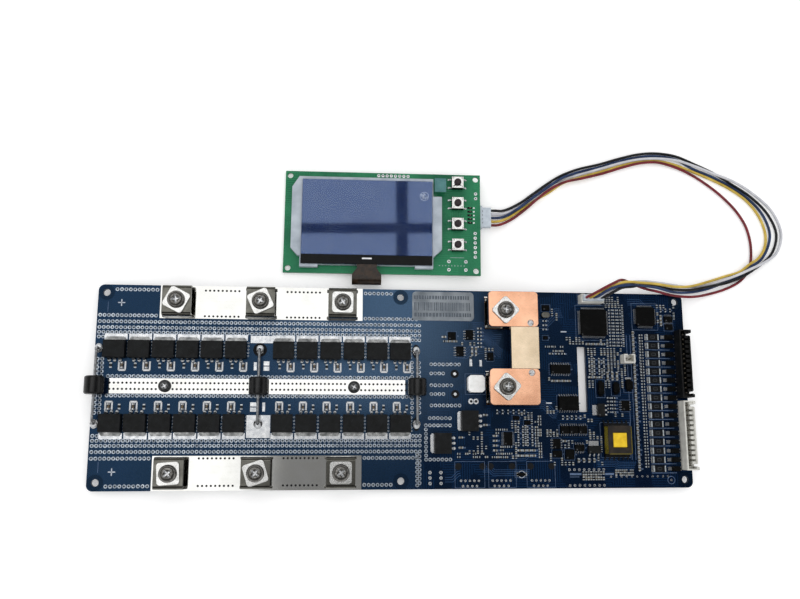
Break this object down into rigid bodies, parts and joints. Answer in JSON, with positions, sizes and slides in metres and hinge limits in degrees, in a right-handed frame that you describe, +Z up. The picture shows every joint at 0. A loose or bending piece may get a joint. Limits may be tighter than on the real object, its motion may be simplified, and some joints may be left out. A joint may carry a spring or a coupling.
{
  "type": "battery management board",
  "caption": "Long power circuit board with switching transistors, bolted terminals, a shunt and headers, joined by a short cable to a small display board with push buttons.",
  "frame": {"origin": "centre of the corner hole pattern of the power board, on its underside", "axes": "+X along the board towards the cell sense headers, +Y towards the display unit, +Z up out of the component side"},
  "size_m": [0.3647, 0.1806, 0.0193],
  "materials": {
    "board_blue": "navy solder mask",
    "tin": "tinned copper",
    "case_black": "black moulding compound",
    "lead_tin": "tin plated leads",
    "chip_black": "chip resistor body",
    "chip_tan": "ceramic chip part",
    "nickel": "nickel plated sheet",
    "screw_steel": "zinc plated screw",
    "screw_dark": "dark screw",
    "copper": "satin copper",
    "alloy": "resistance alloy",
    "header_black": "black header housing",
    "header_white": "natural header housing",
    "pin_gold": "plated pins",
    "ferrite": "ferrite",
    "tape_yellow": "yellow tape",
    "choke_white": "pale printed cap",
    "can": "metal can",
    "label": "printed foil label",
    "board_green": "green solder mask",
    "frame_pale": "backlight frame",
    "glass": "display glass",
    "seal_black": "black sealing strip",
    "flex_brown": "flexible circuit",
    "film": "clear protective film",
    "button_brown": "button",
    "wire_black": "soft insulation",
    "wire_white": "soft insulation",
    "wire_blue": "soft insulation",
    "wire_yellow": "soft insulation",
    "wire_red": "soft insulation"
  },
  "bodies": {
    "unit": {"main_board": "board_blue", "tinned_strips": "tin", "transistor_cases": "case_black", "transistor_leadframes": "lead_tin", "gate_resistors": "chip_black", "clamp_diodes": "chip_tan", "terminal_brackets": "nickel", "nut_plates": "nickel", "square_washers": "nickel", "terminal_screws": "screw_steel", "surge_diode_bodies": "case_black", "surge_diode_leads": "lead_tin", "solder_joints": "tin", "strip_screws": "screw_dark", "strip_nuts": "screw_steel", "shunt_copper_ends": "copper", "shunt_alloy_strip": "alloy", "shunt_sense_pins": "tin", "processor_case": "case_black", "monitor_case": "case_black", "small_ic_cases": "case_black", "ic_leads": "lead_tin", "balance_resistors": "chip_black", "balance_transistors": "case_black", "balance_tabs": "lead_tin", "black_header": "header_black", "white_header": "header_white", "header_pins": "pin_gold", "display_header": "header_white", "probe_header": "header_white", "transformer_core": "ferrite", "transformer_winding": "tape_yellow", "transformer_bobbin": "case_black", "power_choke": "choke_white", "power_diodes": "case_black", "chip_resistors": "chip_black", "chip_capacitors": "chip_tan", "crystal": "can", "serial_label": "label", "display_board": "board_green", "backlight_frame": "frame_pale", "display_glass": "glass", "display_seal": "seal_black", "display_flex": "flex_brown", "display_film": "film", "switch_bases": "case_black", "switch_covers": "can", "switch_terminals": "lead_tin", "side_socket": "header_white", "board_plug": "header_white", "display_plug": "header_white", "wire_black": "wire_black", "wire_white": "wire_white", "wire_blue": "wire_blue", "wire_yellow": "wire_yellow", "wire_red": "wire_red"},
    "button_1_cap": {"button_1": "button_brown"},
    "button_2_cap": {"button_2": "button_brown"},
    "button_3_cap": {"button_3": "button_brown"},
    "button_4_cap": {"button_4": "button_brown"}
  },
  "joints": [
    {"name": "button_1_press", "type": "slide", "parent": "unit", "child": "button_1_cap", "axis": [0.05, -0.0004, -0.9987], "range_m": [0, 0.00025], "stiffness_N_per_m": 4000, "springref_m": -0.0001},
    {"name": "button_2_press", "type": "slide", "parent": "unit", "child": "button_2_cap", "axis": [0.05, -0.0004, -0.9987], "range_m": [0, 0.00025], "stiffness_N_per_m": 4000, "springref_m": -0.0001},
    {"name": "button_3_press", "type": "slide", "parent": "unit", "child": "button_3_cap", "axis": [0.05, -0.0004, -0.9987], "range_m": [0, 0.00025], "stiffness_N_per_m": 4000, "springref_m": -0.0001},
    {"name": "button_4_press", "type": "slide", "parent": "unit", "child": "button_4_cap", "axis": [0.05, -0.0004, -0.9987], "range_m": [0, 0.00025], "stiffness_N_per_m": 4000, "springref_m": -0.0001}
  ]
}
